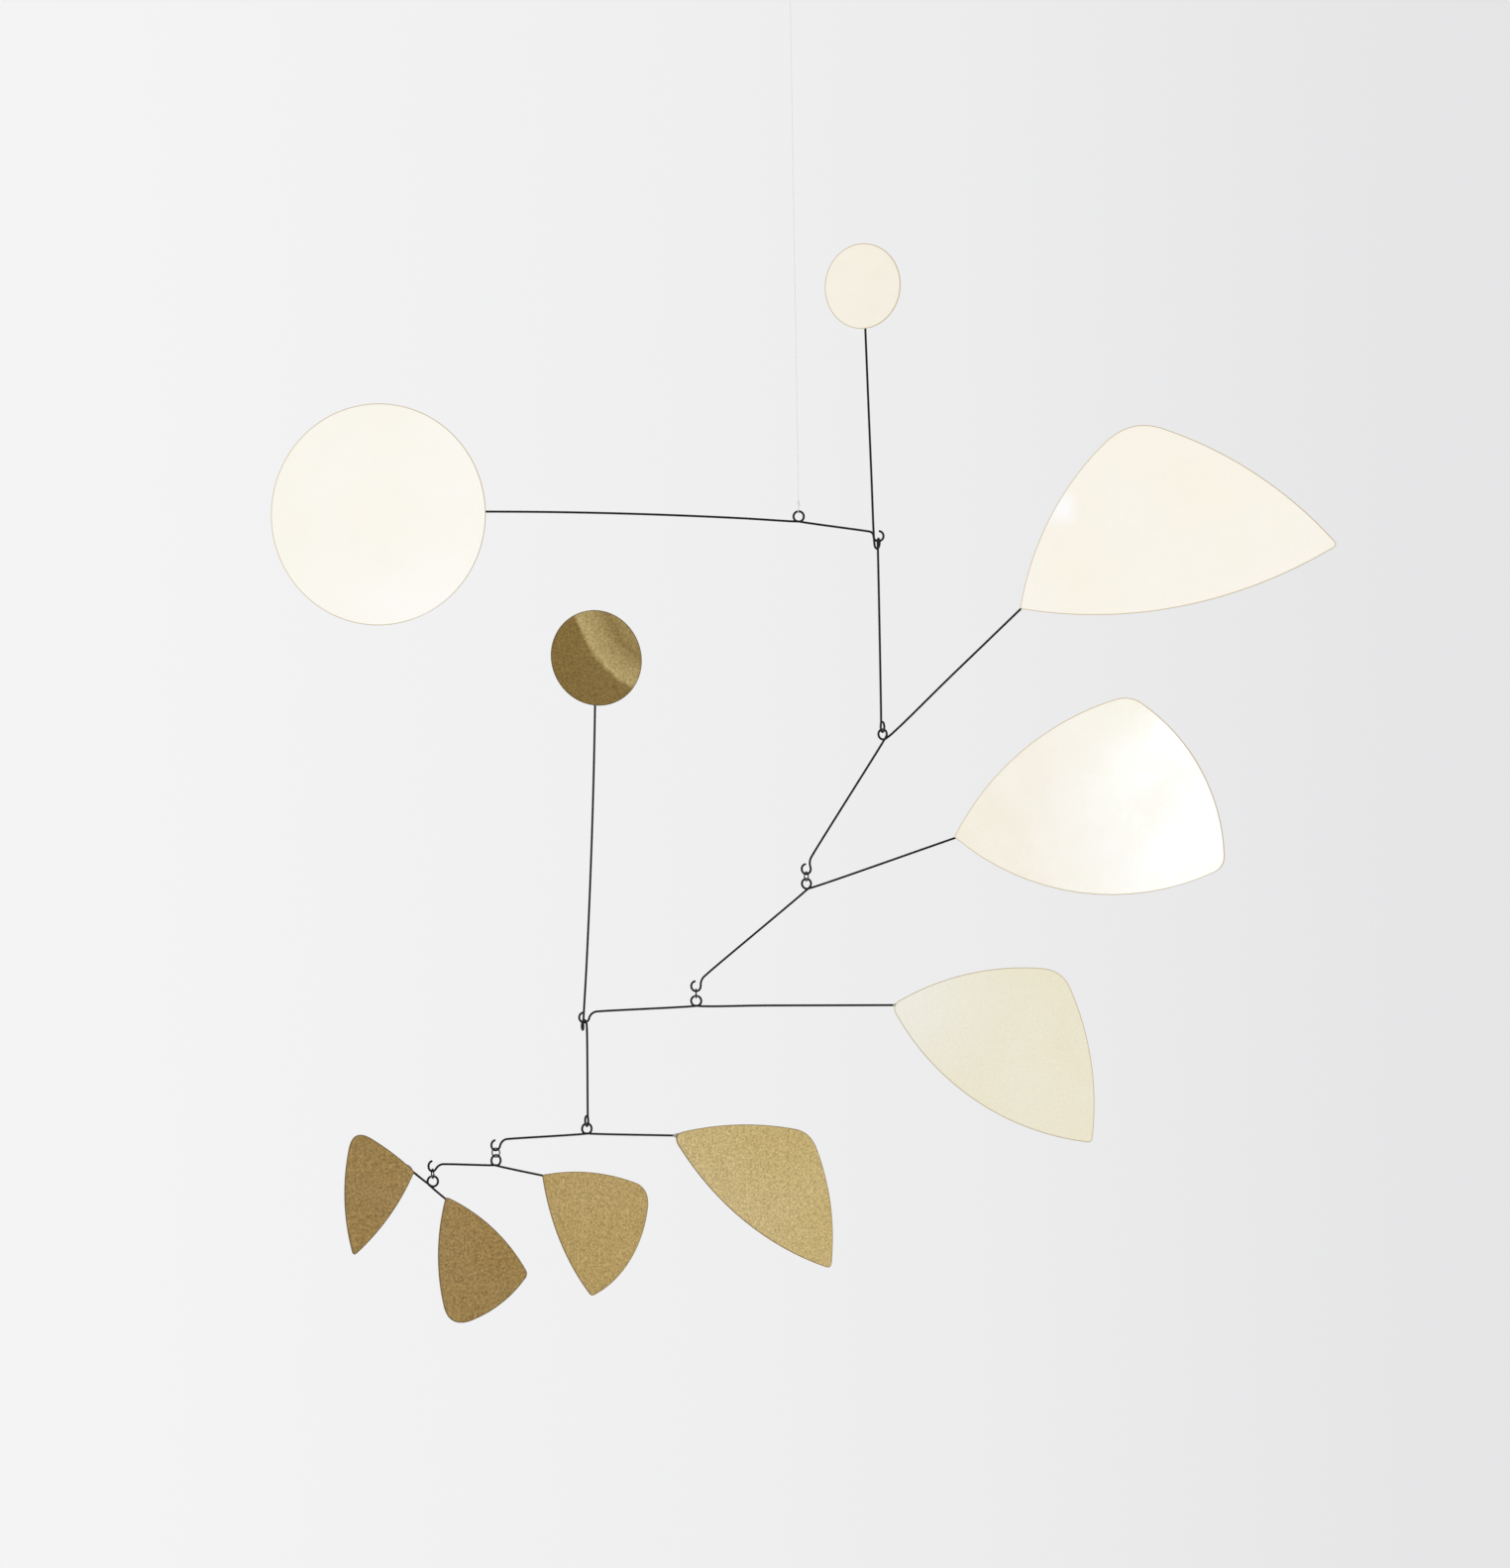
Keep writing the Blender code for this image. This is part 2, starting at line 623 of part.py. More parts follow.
def main():
    for thing in list(bpy.data.objects):
        bpy.data.objects.remove(thing)

    steel = metal("dark steel wire", (0.035, 0.028, 0.026), 0.42)
    pale_brass = metal("pale polished brass", (0.86, 0.78, 0.56), 0.28)
    brass = metal("golden brass", (0.62, 0.49, 0.24), 0.30)
    dark_brass = metal("darkened brass", (0.36, 0.28, 0.12), 0.34)
    nylon = metal("clear nylon line", (0.92, 0.93, 0.95), 0.15, 0.0)

    mobile = Mobile(steel)
    hang_line(mobile, nylon)
    hang_disc_arm(mobile, pale_brass)

    stretches = (
        Stretch(TOP_DISC_REACH, 90, TOP_DISC_BEND, TOP_DISC_SWAY),
        Stretch(TOP_UPRIGHT_HOOK_REACH, TOP_UPRIGHT_HOOK_RISE),
    )
    names = ("top_upright", "top_disc")
    hang_upright(mobile, names, stretches, TOP_UPRIGHT_YAW, TOP_DISC, TOP_DISC_YAW, pale_brass)

    wide = (WIDE_SHOULDER_RADIUS, WIDE_SHOULDER_TURN)
    level = (LEVEL_SHOULDER_RADIUS, LEVEL_SHOULDER_TURN)
    stretches = (Stretch(FIRST_LEAF_REACH, FIRST_LEAF_RISE), Stretch(FIRST_HOOK_REACH, FIRST_HOOK_RISE))
    hang_leaf_arm(mobile, "first", stretches, wide, FIRST_LEAF, FIRST_LEAF_YAW, pale_brass)
    mobile.hang_link("first_link_ring", FIRST_LINK_YAW)

    stretches = (Stretch(SECOND_LEAF_REACH, SECOND_LEAF_RISE), Stretch(SECOND_HOOK_REACH, SECOND_HOOK_RISE))
    hang_leaf_arm(mobile, "second", stretches, wide, SECOND_LEAF, SECOND_LEAF_YAW, pale_brass)
    mobile.hang_link("second_link_ring", SECOND_LINK_YAW)

    stretches = (Stretch(THIRD_LEAF_REACH, THIRD_LEAF_RISE), Stretch(THIRD_HOOK_REACH, THIRD_HOOK_RISE))
    hang_leaf_arm(mobile, "third", stretches, level, THIRD_LEAF, THIRD_LEAF_YAW, pale_brass)

    stretches = (
        Stretch(DARK_DISC_REACH, 90, DARK_DISC_BEND, DARK_DISC_SWAY),
        Stretch(LONG_UPRIGHT_HOOK_REACH, LONG_UPRIGHT_HOOK_RISE),
    )
    names = ("long_upright", "dark_disc")
    hang_upright(mobile, names, stretches, LONG_UPRIGHT_YAW, DARK_DISC, DARK_DISC_YAW, dark_brass)

    stretches = (Stretch(FOURTH_LEAF_REACH, FOURTH_LEAF_RISE), Stretch(FOURTH_HOOK_REACH, FOURTH_HOOK_RISE))
    hang_leaf_arm(mobile, "fourth", stretches, level, FOURTH_LEAF, FOURTH_LEAF_YAW, brass)
    mobile.hang_link("third_link_ring", THIRD_LINK_YAW)

    stretches = (Stretch(FIFTH_LEAF_REACH, FIFTH_LEAF_RISE), Stretch(FIFTH_HOOK_REACH, FIFTH_HOOK_RISE))
    hang_leaf_arm(mobile, "fifth", stretches, wide, FIFTH_LEAF, FIFTH_LEAF_YAW, brass)
    mobile.hang_link("fourth_link_ring", FOURTH_LINK_YAW)

    hang_lowest_arm(mobile, dark_brass)


main()
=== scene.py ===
"""A hanging mobile of dark wire arms and brass plates, as it hangs still on its clear line."""
import json
import math

import bmesh
import bpy
from mathutils import Matrix, Vector
from mathutils.geometry import interpolate_bezier


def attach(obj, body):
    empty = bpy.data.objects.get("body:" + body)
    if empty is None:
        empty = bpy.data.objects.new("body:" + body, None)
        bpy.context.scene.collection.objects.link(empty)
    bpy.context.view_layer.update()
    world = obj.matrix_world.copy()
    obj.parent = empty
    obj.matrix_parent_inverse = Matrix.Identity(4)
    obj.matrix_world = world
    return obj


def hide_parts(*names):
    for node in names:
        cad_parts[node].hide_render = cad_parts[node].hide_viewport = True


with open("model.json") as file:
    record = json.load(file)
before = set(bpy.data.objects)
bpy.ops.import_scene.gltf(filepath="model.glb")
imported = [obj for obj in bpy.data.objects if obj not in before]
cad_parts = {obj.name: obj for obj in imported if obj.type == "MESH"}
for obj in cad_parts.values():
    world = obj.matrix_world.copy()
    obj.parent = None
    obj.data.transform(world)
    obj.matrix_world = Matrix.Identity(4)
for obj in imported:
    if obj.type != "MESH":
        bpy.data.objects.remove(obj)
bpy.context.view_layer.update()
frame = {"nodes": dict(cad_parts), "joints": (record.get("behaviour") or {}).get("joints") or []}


# The view: the mobile's middle hangs at eye level and is seen square on from 3.5 m, through a long
# lens. The whole frame leans by about one degree.
VIEW_DISTANCE = 3.5
VIEW_LEAN = 0.93
VIEW_LENS = 119.4

bpy.ops.object.select_all(action="DESELECT")
bpy.ops.object.camera_add(
    location=(-0.0323, -VIEW_DISTANCE, -0.5612),
    rotation=(math.radians(90), math.radians(VIEW_LEAN), 0),
)
view = bpy.context.object
view.name = "view"
view.data.lens = VIEW_LENS
view.data.sensor_width = 36
bpy.context.scene.camera = view


# The hanging line: one length of clear nylon, half a millimetre thick, that the mobile's weight
# pulls straight. It is knotted to a loop for a ceiling hook above, and to a noose through the
# main arm's eye below.
LINE_THICKNESS = 0.0005
LINE_LENGTH = 0.345
LINE_TOP = -0.0256
LINE_POINTS = 30


def start_finish(name):
    """A new material, with its nodes, its links and its shader."""
    finish = bpy.data.materials.new(name)
    finish.use_nodes = True
    nodes = finish.node_tree.nodes
    return finish, nodes, finish.node_tree.links, nodes["Principled BSDF"]


def place_on_piece(nodes, links, stretch=(1, 1, 1), sheet_map=None):
    """A point's place on the piece, stretched, to lay a pattern out on it."""
    if sheet_map:
        place = nodes.new("ShaderNodeUVMap")
        place.uv_map = sheet_map
        source = place.outputs["UV"]
    else:
        place = nodes.new("ShaderNodeTexCoord")
        source = place.outputs["Object"]
    layout = nodes.new("ShaderNodeMapping")
    layout.inputs["Scale"].default_value = stretch
    links.new(source, layout.inputs["Vector"])
    return layout.outputs["Vector"]


def cloud(nodes, links, place, scale, detail=3, roughness=0.5):
    """A soft irregular pattern from 0 to 1."""
    noise = nodes.new("ShaderNodeTexNoise")
    noise.inputs["Scale"].default_value = scale
    noise.inputs["Detail"].default_value = detail
    noise.inputs["Roughness"].default_value = roughness
    links.new(place, noise.inputs["Vector"])
    return noise.outputs["Fac"]


def between(nodes, links, pattern, low, high, start=0.3, end=0.7):
    """The pattern's range from start to end, brought to the values from low to high."""
    spread = nodes.new("ShaderNodeMapRange")
    links.new(pattern, spread.inputs["Value"])
    spread.inputs["From Min"].default_value = start
    spread.inputs["From Max"].default_value = end
    spread.inputs["To Min"].default_value = low
    spread.inputs["To Max"].default_value = high
    return spread.outputs["Result"]


def colours(nodes, links, pattern, *stops):
    """Colours along the pattern, each stop a place from 0 to 1 and its colour."""
    ramp = nodes.new("ShaderNodeValToRGB")
    elements = ramp.color_ramp.elements
    while len(elements) < len(stops):
        elements.new(0.5)
    for element, (place, colour) in zip(elements, stops):
        element.position = place
        element.color = (*colour, 1)
    links.new(pattern, ramp.inputs["Fac"])
    return ramp.outputs["Color"]


def blend_colours(nodes, links, amount, first, second):
    """From the first colour to the second by the amount."""
    mix = nodes.new("ShaderNodeMix")
    mix.data_type = "RGBA"
    links.new(amount, mix.inputs[0])
    for place, colour in ((6, first), (7, second)):
        if isinstance(colour, tuple):
            mix.inputs[place].default_value = (*colour, 1)
        else:
            links.new(colour, mix.inputs[place])
    return mix.outputs[2]


def relief(nodes, links, pattern, depth, over=None):
    """A fine relief of that depth, over the relief that the surface already has."""
    bump = nodes.new("ShaderNodeBump")
    bump.inputs["Distance"].default_value = depth
    links.new(pattern, bump.inputs["Height"])
    if over is not None:
        links.new(over, bump.inputs["Normal"])
    return bump.outputs["Normal"]


def clear_nylon():
    """Clear line, faintly milky, with fine scuffs."""
    finish, nodes, links, shader = start_finish("clear_nylon")
    place = place_on_piece(nodes, links)
    scuffs = cloud(nodes, links, place, 900, 4)
    milk = cloud(nodes, links, place, 160, 2)
    colour = colours(nodes, links, milk, (0.3, (0.90, 0.91, 0.92)), (0.7, (0.97, 0.97, 0.98)))
    links.new(colour, shader.inputs["Base Color"])
    links.new(between(nodes, links, scuffs, 0.10, 0.28), shader.inputs["Roughness"])
    links.new(relief(nodes, links, scuffs, 0.00002), shader.inputs["Normal"])
    shader.inputs["Transmission Weight"].default_value = 0.1
    shader.inputs["IOR"].default_value = 1.53
    return finish


nylon = clear_nylon()


def line_through(name, points):
    """A length of line along the points."""
    route = bpy.data.curves.new(name, "CURVE")
    route.dimensions = "3D"
    route.bevel_depth = LINE_THICKNESS / 2
    route.bevel_resolution = 3
    route.use_fill_caps = True
    spline = route.splines.new("POLY")
    spline.points.add(len(points) - 1)
    for spot, point in zip(spline.points, points):
        spot.co = (*point, 1)
    piece = bpy.data.objects.new(name, route)
    piece.data.materials.append(nylon)
    bpy.context.scene.collection.objects.link(piece)
    return piece


def make_mesh(*pieces):
    """The pieces made into meshes and joined into the first one."""
    bpy.ops.object.select_all(action="DESELECT")
    for piece in pieces:
        piece.select_set(True)
    bpy.context.view_layer.objects.active = pieces[0]
    bpy.ops.object.convert(target="MESH")
    if len(pieces) > 1:
        bpy.ops.object.join()
    bpy.ops.object.shade_smooth()
    return pieces[0]


def place_in_mesh(piece, matrix):
    """Moves the piece's mesh, so that its object stays at the origin."""
    piece.data.transform(matrix)
    piece.data.update()


hanging_line = line_through(
    "hanging_line",
    [Vector((0, 0, LINE_TOP - LINE_LENGTH * n / (LINE_POINTS - 1))) for n in range(LINE_POINTS)],
)

KNOT_WRAPS = 5
KNOT_LENGTH = 0.0028
KNOT_GAP = 0.0001
BEND_POINTS = 40
LEG_POINTS = 6
KNOT_CORE = 0.00062
WRAP_PITCH = 0.00047
WRAP_STEPS = 16


def knotted_loop(name, radius, height, sweep):
    """A loop of line round a peg at the origin, closed by a wound knot at that height."""
    gap = LINE_THICKNESS / 2 + KNOT_GAP
    ends = math.radians(sweep) / 2
    angles = [ends - 2 * ends * n / BEND_POINTS for n in range(BEND_POINTS + 1)]
    bend = [Vector((0, radius * math.sin(a), -radius * math.cos(a))) for a in angles]
    legs = []
    for side, end in ((1, bend[0]), (-1, bend[-1])):
        top = Vector((0, side * gap, height))
        legs.append([top.lerp(end, n / LEG_POINTS) for n in range(LEG_POINTS)])
    loop = line_through(name, legs[0] + bend + legs[1][::-1])

    turns = KNOT_WRAPS * WRAP_STEPS
    coil = []
    for n in range(turns + 1):
        angle = math.tau * n / WRAP_STEPS
        level = height + WRAP_PITCH * (n / WRAP_STEPS - KNOT_WRAPS / 2)
        coil.append(Vector((KNOT_CORE * math.cos(angle), KNOT_CORE * math.sin(angle), level)))
    wraps = line_through(name + "_wraps", coil)
    foot = height - KNOT_LENGTH / 2
    upright = [Vector((0, 0, foot + KNOT_LENGTH * n / 8)) for n in range(9)]
    core = line_through(name + "_core", upright)
    tail_start = Vector((0.0005, 0.0004, height - 0.0008))
    tail_end = Vector((0.0011, 0.0004, height - 0.0024))
    tail_points = [tail_start.lerp(tail_end, t) for t in (0, 0.5, 1)]
    tail = line_through(name + "_tail", tail_points)
    return make_mesh(loop, wraps, core, tail)


TOP_LOOP_RADIUS = 0.00525
TOP_LOOP_HEIGHT = 0.019
TOP_LOOP_SWEEP = 212
TOP_LOOP_MIDDLE = -0.005
top_loop = knotted_loop("top_loop", TOP_LOOP_RADIUS, TOP_LOOP_HEIGHT, TOP_LOOP_SWEEP)
upside_down = Matrix.Rotation(math.pi, 4, "X")
place_in_mesh(top_loop, Matrix.Translation((0, 0, TOP_LOOP_MIDDLE)) @ upside_down)
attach(top_loop, "top_loop")
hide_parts("thread_top_loop")

NOOSE_RADIUS = 0.0013
NOOSE_HEIGHT = 0.006
NOOSE_SWEEP = 200
NOOSE_MIDDLE = -0.3782
NOOSE_TURN = -11
noose = knotted_loop("noose", NOOSE_RADIUS, NOOSE_HEIGHT, NOOSE_SWEEP)
across_the_arm = Matrix.Rotation(math.radians(NOOSE_TURN), 4, "Z")
place_in_mesh(noose, Matrix.Translation((0, 0, NOOSE_MIDDLE)) @ across_the_arm)
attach(noose, "main_arm")
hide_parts("thread_noose")

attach(hanging_line, "main_arm")
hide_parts("hanging_thread")


# The arms: drawn steel wire, 1.5 mm thick and darkened in an oxide bath, bent by hand over a peg.
# One wire each, with an eye turned in it where it hangs and an open hook for the arm below, which
# the lowest arm has not.
WIRE_THICKNESS = 0.0015
END_LENGTH = 0.0007
END_ROUNDING = 0.00025
SHORT_RUN = 0.004
BEND_STEPS = 3
LONG_STEP = 0.012
MERGE_DISTANCE = 0.00001
WIRE_RUB = 0.0019
WIRE_BODIES = {
    "main_arm_wire": "main_arm",
    "top_upright_wire": "top_upright",
    "first_leaf_wire": "first_leaf_arm",
    "second_leaf_wire": "second_leaf_arm",
    "third_leaf_wire": "third_leaf_arm",
    "long_upright_wire": "long_upright",
    "fourth_leaf_wire": "fourth_leaf_arm",
    "fifth_leaf_wire": "fifth_leaf_arm",
    "lowest_arm_wire": "lowest_arm",
}


def dark_steel():
    """Dark oxidised steel, mottled brown and black, rubbed bright where wire bears on wire."""
    finish, nodes, links, shader = start_finish("dark_steel")
    place = place_on_piece(nodes, links)
    mottle = cloud(nodes, links, place, 260, 5, 0.6)
    pits = cloud(nodes, links, place, 2600, 3, 0.6)
    bloom = cloud(nodes, links, place, 34, 3)
    oxide = colours(
        nodes, links, mottle,
        (0.30, (0.004, 0.003, 0.0028)),
        (0.52, (0.009, 0.006, 0.005)),
        (0.74, (0.026, 0.015, 0.010)),
    )
    faded = between(nodes, links, bloom, 0, 0.35, 0.5, 0.75)
    oxide = blend_colours(nodes, links, faded, oxide, (0.034, 0.022, 0.017))
    rubbed = nodes.new("ShaderNodeAttribute")
    rubbed.attribute_name = "rubbed"
    worn = blend_colours(nodes, links, rubbed.outputs["Fac"], oxide, (0.26, 0.24, 0.22))
    links.new(worn, shader.inputs["Base Color"])
    links.new(between(nodes, links, mottle, 0.40, 0.62), shader.inputs["Roughness"])
    links.new(relief(nodes, links, pits, 0.00003), shader.inputs["Normal"])
    links.new(between(nodes, links, rubbed.outputs["Fac"], 0.15, 0.9, 0, 1), shader.inputs["Metallic"])
    shader.inputs["Specular IOR Level"].default_value = 0.2
    return finish


oxidised = dark_steel()
bearings = [Vector(joint["pos_m"]) for joint in frame["joints"]]


def middle_line(node):
    """The middle of each ring of a packed wire's tube, from one end to the other."""
    tube = bmesh.new()
    tube.from_mesh(frame["nodes"][node].data)
    bmesh.ops.remove_doubles(tube, verts=tube.verts, dist=MERGE_DISTANCE)
    rims = [edge for edge in tube.edges if edge.calc_face_angle(0) > math.radians(60)]
    ring = set(rims[0].verts)
    for _ in range(8):
        for edge in rims:
            if ring & set(edge.verts):
                ring |= set(edge.verts)
    seen = set(ring)
    middles = []
    while ring:
        middles.append(sum((corner.co for corner in ring), Vector()) / len(ring))
        ring = {edge.other_vert(corner) for corner in ring for edge in corner.link_edges} - seen
        seen |= ring
    tube.free()
    return middles


def eased(points):
    """A smooth line through the points, with more points in its bends and none close to its ends."""
    ends = [2 * points[0] - points[1], *points, 2 * points[-1] - points[-2]]
    line = [points[0]]
    for before, start, end, after in zip(ends, ends[1:], ends[2:], ends[3:]):
        near = math.sqrt((start - before).length)
        here = math.sqrt((end - start).length)
        far = math.sqrt((after - end).length)
        leave = ((start - before) / near - (end - before) / (near + here) + (end - start) / here) * here
        arrive = ((end - start) / here - (after - start) / (here + far) + (after - end) / far) * here
        run = here * here
        steps = BEND_STEPS if run < SHORT_RUN else math.ceil(run / LONG_STEP)
        line += interpolate_bezier(start, start + leave / 3, end - arrive / 3, end, steps + 1)[1:]
    first, last = line[0], line[-1]
    clear = [spot for spot in line[1:-1] if min((spot - first).length, (spot - last).length) > END_LENGTH]
    return [first, *clear, last]


def drawn_wire(name, points):
    """A round wire along the points, its cut ends filed a little round."""
    route = bpy.data.curves.new(name, "CURVE")
    route.dimensions = "3D"
    route.bevel_depth = WIRE_THICKNESS / 2
    route.bevel_resolution = 6
    spline = route.splines.new("POLY")
    spline.points.add(len(points) - 1)
    for spot, point in zip(spline.points, points):
        spot.co = (*point, 1)
    wire = bpy.data.objects.new(name, route)
    bpy.context.scene.collection.objects.link(wire)
    bpy.ops.object.select_all(action="DESELECT")
    wire.select_set(True)
    bpy.context.view_layer.objects.active = wire
    bpy.ops.object.convert(target="MESH")
    wire = bpy.context.object
    bpy.ops.object.mode_set(mode="EDIT")
    bpy.ops.mesh.select_all(action="SELECT")
    bpy.ops.mesh.fill_holes(sides=0)
    bpy.ops.mesh.select_all(action="SELECT")
    bpy.ops.mesh.normals_make_consistent(inside=False)
    bpy.ops.mesh.select_all(action="DESELECT")
    bpy.ops.mesh.edges_select_sharp(sharpness=math.radians(60))
    bpy.ops.mesh.bevel(offset=END_ROUNDING, segments=3, affect="EDGES")
    bpy.ops.object.mode_set(mode="OBJECT")
    bpy.ops.object.shade_smooth_by_angle(angle=math.radians(50))
    return wire


def rub_bright(piece, reach):
    """Marks where the piece bears on its neighbours and its finish has rubbed away."""
    rubbed = piece.data.attributes.new("rubbed", "FLOAT", "POINT")
    for spot in piece.data.vertices:
        nearest = min((spot.co - bearing).length for bearing in bearings)
        rubbed.data[spot.index].value = max(0, 1 - nearest / reach) ** 0.7


for node, body in WIRE_BODIES.items():
    wire = drawn_wire(node.replace("_wire", "_steel_wire"), eased(middle_line(node)))
    wire.data.materials.append(oxidised)
    rub_bright(wire, WIRE_RUB)
    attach(wire, body)
    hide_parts(node)


# The link rings: small rings of thinner wire, closed round the hook above and the eye below, that
# let two arms lie in different planes.
LINK_BODIES = {
    "first_link_ring": "first_leaf_arm",
    "second_link_ring": "second_leaf_arm",
    "third_link_ring": "fourth_leaf_arm",
    "fourth_link_ring": "fifth_leaf_arm",
}
RING_ROUNDING = 0.000075
RING_RUB = 0.0016


def own_copy(node, name):
    """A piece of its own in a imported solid's place, its loose triangles merged."""
    piece = bpy.data.objects.new(name, frame["nodes"][node].data.copy())
    piece.data.name = name
    piece.data.materials.clear()
    bpy.context.scene.collection.objects.link(piece)
    bpy.ops.object.select_all(action="DESELECT")
    piece.select_set(True)
    bpy.context.view_layer.objects.active = piece
    bpy.ops.mesh.customdata_custom_splitnormals_clear()
    bpy.ops.object.mode_set(mode="EDIT")
    bpy.ops.mesh.select_all(action="SELECT")
    bpy.ops.mesh.remove_doubles(threshold=MERGE_DISTANCE)
    bpy.ops.object.mode_set(mode="OBJECT")
    return piece


for node, body in LINK_BODIES.items():
    ring = own_copy(node, node.replace("_ring", "_steel_ring"))
    ring.data.materials.append(oxidised)
    bpy.ops.object.mode_set(mode="EDIT")
    bpy.ops.mesh.select_all(action="SELECT")
    bpy.ops.mesh.tris_convert_to_quads()
    bpy.ops.object.mode_set(mode="OBJECT")
    rounding = ring.modifiers.new("rounding", "SUBSURF")
    rounding.levels = 2
    rounding.render_levels = 2
    bpy.ops.object.modifier_apply(modifier="rounding")
    bpy.ops.object.mode_set(mode="EDIT")
    bpy.ops.mesh.select_all(action="SELECT")
    bpy.ops.transform.shrink_fatten(value=RING_ROUNDING)
    bpy.ops.object.mode_set(mode="OBJECT")
    bpy.ops.object.shade_smooth()
    rub_bright(ring, RING_RUB)
    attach(ring, body)
    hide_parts(node)


# The discs: blanks cut round from sheet brass about half a millimetre thick, satin finished and left
# bare. Each stands in front of its wire, which is soldered to its back.
SHEET_MAP = "sheet_map"
RIM_BEVEL = 0.00010
RIM_WIDTH = 0.00075
PRESS_GRID = 0.009


def tinted(colour, red, green, blue):
    """The colour with each of its parts made stronger or weaker."""
    return (min(1, colour[0] * red), min(1, colour[1] * green), min(1, colour[2] * blue))


def dappled(nodes, links, colour, pattern, amount):
    """The colour made lighter and darker by that amount, as the pattern goes."""
    mix = nodes.new("ShaderNodeMix")
    mix.data_type = "RGBA"
    mix.blend_type = "MULTIPLY"
    mix.inputs[0].default_value = 1
    links.new(colour, mix.inputs[6])
    links.new(between(nodes, links, pattern, 1 - amount, 1 + amount), mix.inputs[7])
    return mix.outputs[2]


def reflection_painted_over(nodes, links, skin, ragged, colour, middle, *stops):
    """The skin with a painted reflection, in another colour, laid over it in arcs round a point on the
    sheet's plane.

    Each stop is a distance from that point and the other colour's strength there."""
    reach = nodes.new("ShaderNodeVectorMath")
    reach.operation = "DISTANCE"
    links.new(place_on_piece(nodes, links, sheet_map=SHEET_MAP), reach.inputs[0])
    reach.inputs[1].default_value = (*middle, 0)
    uneven = nodes.new("ShaderNodeMath")
    uneven.operation = "ADD"
    links.new(reach.outputs["Value"], uneven.inputs[0])
    links.new(between(nodes, links, ragged, -0.0012, 0.0012), uneven.inputs[1])
    near, far = stops[0][0], stops[-1][0]
    along = between(nodes, links, uneven.outputs["Value"], 0, 1, near, far)
    greys = [((place - near) / (far - near), (strength,) * 3) for place, strength in stops]
    return blend_colours(nodes, links, colours(nodes, links, along, *greys), skin, colour)


def satin_brass(name, sheen, outline, tarnish, dapple, base_roughness, *painted_reflection):
    """Sheet brass with a satin grain, soft tarnish, finger smudges and a dark line round its edge. Its
    sheen colour is set for each plate as painted light and shade, and the optional painted reflection is
    laid over it.
    """
    finish, nodes, links, shader = start_finish(name)
    place = place_on_piece(nodes, links)
    along = place_on_piece(nodes, links, stretch=(30, 2600, 1), sheet_map=SHEET_MAP)
    grain = cloud(nodes, links, along, 1, 3, 0.6)
    film = cloud(nodes, links, place, 15, 4, 0.5)
    smudge = cloud(nodes, links, place, 55, 4, 0.6)
    specks = cloud(nodes, links, place, 900, 2, 0.5)
    pebble = cloud(nodes, links, place, 650, 4, 0.6)
    filmed = tinted(sheen, 1 - 0.2 * tarnish, 1 - 0.3 * tarnish, 1 - 0.8 * tarnish)
    skin = colours(nodes, links, film, (0.32, tinted(sheen, 1.005, 1.005, 1.015)), (0.72, filmed))
    if painted_reflection:
        skin = reflection_painted_over(nodes, links, skin, smudge, *painted_reflection)
    skin = dappled(nodes, links, skin, pebble, dapple)
    fleck = between(nodes, links, specks, 0, min(0.3, 2 * dapple), 0.62, 0.78)
    skin = blend_colours(nodes, links, fleck, skin, tinted(sheen, 0.82, 0.76, 0.62))
    rim = nodes.new("ShaderNodeAttribute")
    rim.attribute_name = "rim"
    edging = between(nodes, links, rim.outputs["Fac"], 0, 0.85, 0.05, 0.55)
    links.new(blend_colours(nodes, links, edging, skin, outline), shader.inputs["Base Color"])
    dull = between(nodes, links, smudge, base_roughness - 0.03, base_roughness + 0.06, 0.35, 0.70)
    streak = between(nodes, links, grain, -0.02, 0.02)
    total = nodes.new("ShaderNodeMath")
    total.operation = "ADD"
    links.new(dull, total.inputs[0])
    links.new(streak, total.inputs[1])
    links.new(total.outputs["Value"], shader.inputs["Roughness"])
    fine = relief(nodes, links, grain, 0.000012)
    links.new(relief(nodes, links, smudge, 0.00004, fine), shader.inputs["Normal"])
    shader.inputs["Metallic"].default_value = 1
    shader.inputs["Anisotropic"].default_value = 0.3
    return finish


def sheared_brass(name, dark, light):
    """The cut edge of a sheet, scored across its thickness and darker than its face."""
    finish, nodes, links, shader = start_finish(name)
    scores = cloud(nodes, links, place_on_piece(nodes, links), 1500, 2)
    links.new(colours(nodes, links, scores, (0.3, dark), (0.7, light)), shader.inputs["Base Color"])
    links.new(between(nodes, links, scores, 0.32, 0.52), shader.inputs["Roughness"])
    links.new(relief(nodes, links, scores, 0.00003), shader.inputs["Normal"])
    shader.inputs["Metallic"].default_value = 1
    return finish


# All the plates are the same brass. Each plate's colour below is that brass as it looks in its own light:
# pale where it faces the bright left, golden and dark where it turns to the darker right. These tones, and
# the outline and edge colours that go with them, are painted light and shade.
LIT_OUTLINE = (0.62, 0.50, 0.30)
SHADED_OUTLINE = (0.16, 0.11, 0.05)

large_brass = satin_brass("large_disc_brass", (0.922, 0.893, 0.800), LIT_OUTLINE, 0.06, 0.008, 0.20)
top_brass = satin_brass("top_disc_brass", (0.897, 0.850, 0.732), LIT_OUTLINE, 0.06, 0.010, 0.20)
# The dark disc's deep colour is painted shade, and the lighter arcs laid over it round a point off its rim
# are a painted reflection.
shaded_disc_brass = satin_brass(
    "dark_disc_brass", (0.262, 0.176, 0.058), SHADED_OUTLINE, 0.35, 0.34, 0.24,
    (0.535, 0.412, 0.178), (0.0819, -0.0555),
    (0.041, 0.45), (0.052, 0.22), (0.062, 0.70), (0.0722, 1.0), (0.0754, 0.05), (0.095, 0.0),
)
